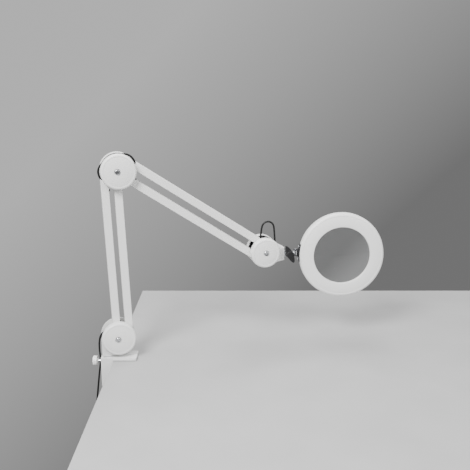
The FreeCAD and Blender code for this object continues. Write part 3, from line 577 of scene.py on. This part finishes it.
# Lens: polished biconvex glass, five inches across, held by a black ring screwed in from behind.
glass, shader = new_material("lens_glass", (0.97, 0.98, 0.98), 0.02)
shader.inputs["Transmission Weight"].default_value = 1.0
shader.inputs["IOR"].default_value = 1.5
LENS = 0.0635
CURVE = 0.400
THICK = 0.013
edge = math.asin(LENS / CURVE)
side_steps = 10
outline = []
for way in (1, -1):
    for step in range(side_steps + 1):
        angle = edge * (step if way > 0 else side_steps - step) / side_steps
        outline.append((CURVE * math.sin(angle), way * (THICK / 2 - CURVE * (1 - math.cos(angle)))))
lens = turned("magnifier", outline, steps=96)
settle(lens, head_middle - head_back * LENS_BACK, head_front)
finished(lens, glass, "clear_glass", "head", "lens")


# Wing knob: black moulded grip with two tapered wings on a round hub, turned by hand to lock
# the tilt of the head.
knob_low, knob_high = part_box("wing_knob")
tilt_pin = Vector(joints["head_tilt"]["pos_m"])
tilt_axis = Vector(joints["wing_turn"]["axis"])
knob_middle = (Vector(knob_low) + Vector(knob_high)) / 2
knob_place = tilt_pin + tilt_axis * (knob_middle - tilt_pin).dot(tilt_axis)
knob_outline = [(0.0, 0.0062)] + arc(0.0064, 0.0046, 0.0016, 90, 0, 4)
knob_outline += arc(0.0064, -0.0046, 0.0016, 0, -90, 4) + [(0.0, -0.0062)]
knob = turned("wing_grip", knob_outline, steps=40)
bpy.ops.mesh.primitive_cylinder_add(vertices=48, radius=0.0200, depth=0.0080)
wings = bpy.context.object
for vertex in wings.data.vertices:
    reach = abs(vertex.co.y) / 0.020
    vertex.co.x *= 0.34 - 0.06 * reach
    vertex.co.z *= 1.0 - 0.25 * reach
deselect()
knob.select_set(True)
bpy.context.view_layer.objects.active = knob
merge = knob.modifiers.new("merge", "BOOLEAN")
merge.operation = "UNION"
merge.object = wings
bpy.ops.object.modifier_apply(modifier=merge.name)
bpy.data.objects.remove(wings)
soften = knob.modifiers.new("soften", "BEVEL")
soften.width = 0.0011
soften.segments = 2
soften.limit_method = "ANGLE"
bpy.ops.object.modifier_apply(modifier=soften.name)
bpy.ops.object.shade_smooth_by_angle(angle=math.radians(30))
KNOB_LEAN = -25.0
lean = math.radians(KNOB_LEAN)
knob_up = (arm_z * math.cos(lean) + arm_x * math.sin(lean)).normalized()
knob_up = (knob_up - tilt_axis * knob_up.dot(tilt_axis)).normalized()
axes = Matrix((knob_up.cross(-tilt_axis), knob_up, -tilt_axis)).transposed().to_4x4()
knob.matrix_world = Matrix.Translation(knob_place) @ axes
bpy.ops.object.transform_apply(location=True, rotation=True, scale=True)
finished(knob, black_plastic, "black_plastic", "wing", "wing_knob")


# Finishes of the pieces that keep their drawn shapes: enamelled steel, moulded plastic, plated
# and blackened steel, rubber and board, each laid over its own nodes by material slot.
enamel, shader = new_material("white_enamel", (0.84, 0.84, 0.83), 0.38)
grain = noise(enamel, 1400.0)
bumps(enamel, shader, grain, 0.00003)
spread(enamel, noise(enamel, 30.0), 0.34, 0.44, shader.inputs["Roughness"])
dark_steel, shader = new_material("dark_steel", (0.06, 0.06, 0.065), 0.35, 0.9)
spread(dark_steel, noise(dark_steel, 60.0), 0.28, 0.45, shader.inputs["Roughness"])
rubber, shader = new_material("black_rubber", (0.012, 0.012, 0.012), 0.75)
bumps(rubber, shader, noise(rubber, 1200.0), 0.00008)
spread(rubber, noise(rubber, 30.0), 0.66, 0.84, shader.inputs["Roughness"])
spring_steel, shader = new_material("spring_steel", (0.5, 0.5, 0.51), 0.3, 1.0)
spread(spring_steel, noise(spring_steel, 90.0), 0.24, 0.4, shader.inputs["Roughness"])
board_white, shader = new_material("board_white", (0.82, 0.82, 0.8), 0.35)
spread(board_white, noise(board_white, 50.0), 0.3, 0.42, shader.inputs["Roughness"])
milky, shader = new_material("milky_plastic", (0.9, 0.9, 0.88), 0.4)
spread(milky, noise(milky, 40.0), 0.35, 0.45, shader.inputs["Roughness"])

finish = {"white_enamel": enamel, "white_plastic": moulding, "dark_steel": dark_steel, "bright_steel": chrome,
          "black_plastic": black_plastic, "black_rubber": rubber, "black_cord": cord_sheath,
          "spring_steel": spring_steel, "clear_glass": glass, "led_white": board_white,
          "milky_plastic": milky}
for part in frame["record"]["subparts"]:
    piece = nodes[part["node"]]
    if not piece.data.materials:
        piece.data.materials.append(None)
    for number in range(len(piece.material_slots)):
        piece.material_slots[number].link = "OBJECT"
        piece.material_slots[number].material = finish[part["material_slot"]]

low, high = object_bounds()
